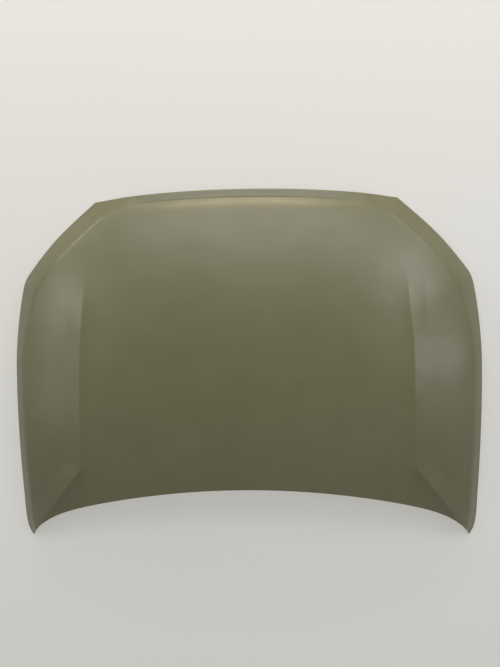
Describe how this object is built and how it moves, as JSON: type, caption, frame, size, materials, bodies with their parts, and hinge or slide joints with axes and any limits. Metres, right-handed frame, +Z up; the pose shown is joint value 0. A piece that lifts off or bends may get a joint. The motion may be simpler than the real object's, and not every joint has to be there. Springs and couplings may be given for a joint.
{
  "type": "car bonnet",
  "caption": "Pressed steel car bonnet in olive primer: hemmed outer skin with side creases, chamfered front corners and nose lip, ribbed inner panel, striker and hinge pads.",
  "frame": {"origin": "on the floor plane under the middle of the bonnet's length and width", "axes": "+X across the bonnet to the car's right, which is right in the picture; +Y to the car's front, the nose edge; +Z up, out of the painted outer face"},
  "size_m": [1.4788, 1.1196, 0.1601],
  "materials": {
    "skin_primer": "satin",
    "inner_primer": "satin",
    "plate_primer": "matte",
    "zinc_steel": "satin",
    "mastic": "matte"
  },
  "bodies": {
    "root": {"outer_skin": "skin_primer", "inner_panel": "inner_primer", "hinge_reinforcement_left": "plate_primer", "hinge_reinforcement_right": "plate_primer", "stay_reinforcement_left": "plate_primer", "stay_reinforcement_right": "plate_primer", "latch_reinforcement": "plate_primer", "hinge_nut_left_front": "zinc_steel", "hinge_nut_left_rear": "zinc_steel", "hinge_nut_right_front": "zinc_steel", "hinge_nut_right_rear": "zinc_steel", "stay_nut_left": "zinc_steel", "stay_nut_right": "zinc_steel", "latch_nut_left": "zinc_steel", "latch_nut_right": "zinc_steel", "striker_plate": "zinc_steel", "striker_loop": "zinc_steel", "striker_bolt_left": "zinc_steel", "striker_bolt_right": "zinc_steel", "mastic_pad_01": "mastic", "mastic_pad_02": "mastic", "mastic_pad_03": "mastic", "mastic_pad_04": "mastic", "mastic_pad_05": "mastic", "mastic_pad_06": "mastic", "mastic_pad_07": "mastic", "mastic_pad_08": "mastic", "mastic_pad_09": "mastic", "mastic_pad_10": "mastic"}
  },
  "joints": []
}
